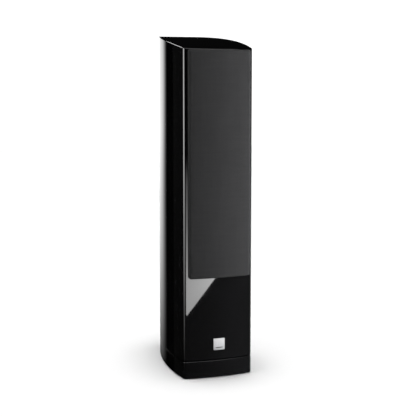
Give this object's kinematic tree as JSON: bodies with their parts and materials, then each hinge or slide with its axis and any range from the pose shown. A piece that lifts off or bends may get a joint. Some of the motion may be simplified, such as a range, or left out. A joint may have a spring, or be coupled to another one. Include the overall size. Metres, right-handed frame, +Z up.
{
  "type": "floorstanding speaker",
  "caption": "Tall floorstanding speaker: gloss black bowed cabinet on a plinth, lift-off cloth grille over woofers and dome tweeter, rear ports and screw terminals.",
  "frame": {"origin": "middle of the bounding box's base, on the floor", "axes": "+Z up; -Y out of the front, the grille side; +X to the right when looking at the front"},
  "size_m": [0.2324, 0.4456, 1.0279],
  "materials": {
    "black_lacquer": "high-gloss black piano lacquer over MDF",
    "raw_board": "raw MDF",
    "grille_cloth": "tightly stretched dark grey acoustic cloth",
    "black_plastic": "fine moulded satin black",
    "black_rubber": "matt black",
    "badge_metal": "satin anodised, with one engraved line",
    "driver_casting": "die cast, black powder coat",
    "plated_steel": "zinc plated",
    "black_screw": "black oxide",
    "ferrite": "sintered ferrite, dark grey",
    "cone_pulp": "coated black pulp",
    "spider_cloth": "impregnated corrugated cloth",
    "copper_wire": "enamelled copper winding",
    "dome_silk": "coated silk",
    "gold_plate": "gold plated brass",
    "red_plastic": "translucent red",
    "terminal_black": "black",
    "film_blue": "dark blue film wrap",
    "resistor_cement": "cast cement, off-white",
    "wire_jacket": "red PVC jacket",
    "bitumen": "bitumen damping sheet"
  },
  "bodies": {
    "cabinet": {"side_panel_left": "black_lacquer", "side_panel_right": "black_lacquer", "front_baffle": "black_lacquer", "rear_panel": "black_lacquer", "top_panel": "black_lacquer", "plinth": "black_lacquer", "bottom_panel": "raw_board", "brace_upper": "raw_board", "brace_middle": "raw_board", "brace_lower": "raw_board", "crossover_board": "raw_board", "plinth_spacer": "black_plastic", "grille_sockets": "black_plastic", "tweeter_faceplate": "black_plastic", "port_tube_upper": "black_plastic", "port_tube_lower": "black_plastic", "terminal_plate": "black_plastic", "floor_pads": "black_rubber", "woofer_gaskets": "black_rubber", "badge_plate": "badge_metal", "woofer_upper_basket": "driver_casting", "woofer_lower_basket": "driver_casting", "plinth_screws": "plated_steel", "woofer_top_plates": "plated_steel", "woofer_yokes": "plated_steel", "tweeter_pole_pieces": "plated_steel", "woofer_screws": "black_screw", "tweeter_screws": "black_screw", "terminal_screws": "black_screw", "woofer_magnets": "ferrite", "tweeter_magnet": "ferrite", "crossover_inductors": "copper_wire", "spike_inserts": "gold_plate", "binding_post_studs": "gold_plate", "binding_post_bases": "terminal_black", "crossover_capacitors": "film_blue", "crossover_resistors": "resistor_cement", "internal_wiring": "wire_jacket", "damping_sheets": "bitumen"},
    "grille": {"grille_frame": "black_plastic", "grille_cloth": "grille_cloth", "grille_pegs": "black_plastic"},
    "upper_cone": {"woofer_upper_cone": "cone_pulp", "woofer_upper_dust_cap": "cone_pulp", "woofer_upper_voice_coil": "copper_wire", "woofer_upper_surround": "black_rubber", "woofer_upper_spider": "spider_cloth"},
    "lower_cone": {"woofer_lower_cone": "cone_pulp", "woofer_lower_dust_cap": "cone_pulp", "woofer_lower_voice_coil": "copper_wire", "woofer_lower_surround": "black_rubber", "woofer_lower_spider": "spider_cloth"},
    "tweeter_diaphragm": {"tweeter_dome": "dome_silk", "tweeter_voice_coil": "copper_wire", "tweeter_surround": "black_rubber"},
    "collar_positive": {"post_collar_positive": "gold_plate"},
    "collar_negative": {"post_collar_negative": "gold_plate"},
    "cap_positive": {"post_cap_positive": "red_plastic"},
    "cap_negative": {"post_cap_negative": "terminal_black"}
  },
  "joints": [
    {"name": "grille_pull_off", "type": "slide", "parent": "cabinet", "child": "grille", "axis": [0, -1, 0], "range_m": [0, 0.06]},
    {"name": "upper_cone_travel", "type": "slide", "parent": "cabinet", "child": "upper_cone", "axis": [0, -1, 0], "range_m": [-0.005, 0.005], "stiffness_N_per_m": 900, "deforming": ["woofer_upper_surround", "woofer_upper_spider"]},
    {"name": "lower_cone_travel", "type": "slide", "parent": "cabinet", "child": "lower_cone", "axis": [0, -1, 0], "range_m": [-0.005, 0.005], "stiffness_N_per_m": 900, "deforming": ["woofer_lower_surround", "woofer_lower_spider"]},
    {"name": "tweeter_travel", "type": "slide", "parent": "cabinet", "child": "tweeter_diaphragm", "axis": [0, -1, 0], "range_m": [-0.0005, 0.0005], "stiffness_N_per_m": 300, "deforming": ["tweeter_surround"]},
    {"name": "positive_collar_travel", "type": "slide", "parent": "cabinet", "child": "collar_positive", "axis": [0, 1, 0], "range_m": [0, 0.00375]},
    {"name": "positive_cap_turn", "type": "hinge", "parent": "collar_positive", "child": "cap_positive", "pos_m": [0.0095, 0.2078, 0.175], "axis": [0, 1, 0], "range_deg": [0, 1080]},
    {"name": "negative_collar_travel", "type": "slide", "parent": "cabinet", "child": "collar_negative", "axis": [0, 1, 0], "range_m": [0, 0.00375]},
    {"name": "negative_cap_turn", "type": "hinge", "parent": "collar_negative", "child": "cap_negative", "pos_m": [-0.0095, 0.2078, 0.175], "axis": [0, 1, 0], "range_deg": [0, 1080]}
  ],
  "couplings": [
    {"joint": "positive_cap_turn", "follows": "positive_collar_travel", "rad_per_m": 5026.5},
    {"joint": "negative_cap_turn", "follows": "negative_collar_travel", "rad_per_m": 5026.5}
  ]
}
